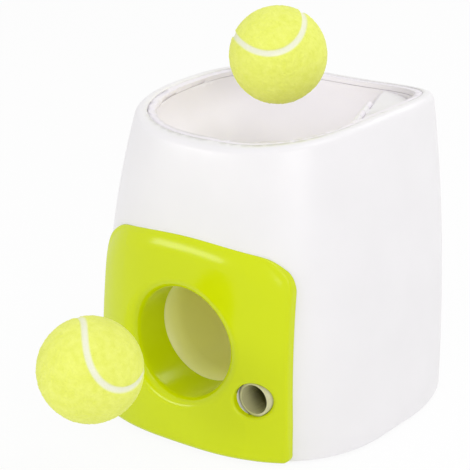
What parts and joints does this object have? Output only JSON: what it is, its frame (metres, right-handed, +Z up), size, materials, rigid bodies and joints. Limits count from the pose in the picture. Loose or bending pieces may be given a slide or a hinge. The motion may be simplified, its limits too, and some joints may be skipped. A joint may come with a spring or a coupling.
{
  "type": "ball and treat machine for dogs",
  "caption": "Gravity-fed fetch machine: a ball dropped in the funnel trips a treat drum and rolls out of the lime front panel as treats fall from the side outlet.",
  "frame": {"origin": "centre of the footprint, on the floor, under the ball throat's axis", "axes": "+Z up, the front panel faces -Y, the treat outlet and lid are on the +X side"},
  "size_m": [0.2145, 0.3436, 0.2745],
  "materials": {
    "white_abs": "satin gloss moulded ABS",
    "lime_abs": "high gloss moulded ABS",
    "cream_abs": "semi gloss moulded ABS",
    "acetal": "natural acetal",
    "steel": "plain zinc-plated steel",
    "spring_steel": "polished spring wire",
    "pad_rubber": "moulded rubber",
    "ball_felt": "napped felt"
  },
  "bodies": {
    "machine": {"outer_casing": "white_abs", "front_panel": "lime_abs", "funnel_insert": "white_abs", "lid_hinge_pin": "steel", "ball_chute_left": "lime_abs", "ball_chute_right": "lime_abs", "chute_screws": "steel", "shaft_bushes": "acetal", "return_spring": "spring_steel", "drum_housing": "cream_abs", "housing_cover": "cream_abs", "cover_screws": "steel", "treat_hopper": "cream_abs", "hopper_screws": "steel", "neck_screws": "steel", "treat_chute": "cream_abs", "treat_outlet_sleeve": "cream_abs", "base_plate": "white_abs", "base_screws": "steel", "rubber_pads": "pad_rubber", "chute_cradle": "white_abs", "cradle_screws": "steel", "panel_screws": "steel"},
    "treat_lid": {"treat_lid": "white_abs"},
    "trip_rotor": {"trip_shaft": "steel", "trip_lever": "acetal", "metering_drum": "acetal", "retaining_clips": "spring_steel"},
    "top_ball": {"tennis_ball_top": "ball_felt"},
    "front_ball": {"tennis_ball_front": "ball_felt"}
  },
  "joints": [
    {"name": "lid_hinge", "type": "hinge", "parent": "machine", "child": "treat_lid", "pos_m": [0.05147, 0.01823, 0.2004], "axis": [0.3338, -0.9426, 0], "range_deg": [0, 100]},
    {"name": "trip_turn", "type": "hinge", "parent": "machine", "child": "trip_rotor", "pos_m": [0.062, 0, 0.13], "axis": [0, -1, 0], "range_deg": [0, 57], "stiffness_Nm_per_rad": 0.006, "springref_deg": -57.3, "deforming": ["return_spring"]},
    {"name": "top_ball_fall", "type": "slide", "parent": "machine", "child": "top_ball", "axis": [0, 0, -1], "range_m": [0, 0.077]},
    {"name": "front_ball_fall", "type": "slide", "parent": "machine", "child": "front_ball", "axis": [0, 0, -1], "range_m": [0, 0.051]}
  ]
}
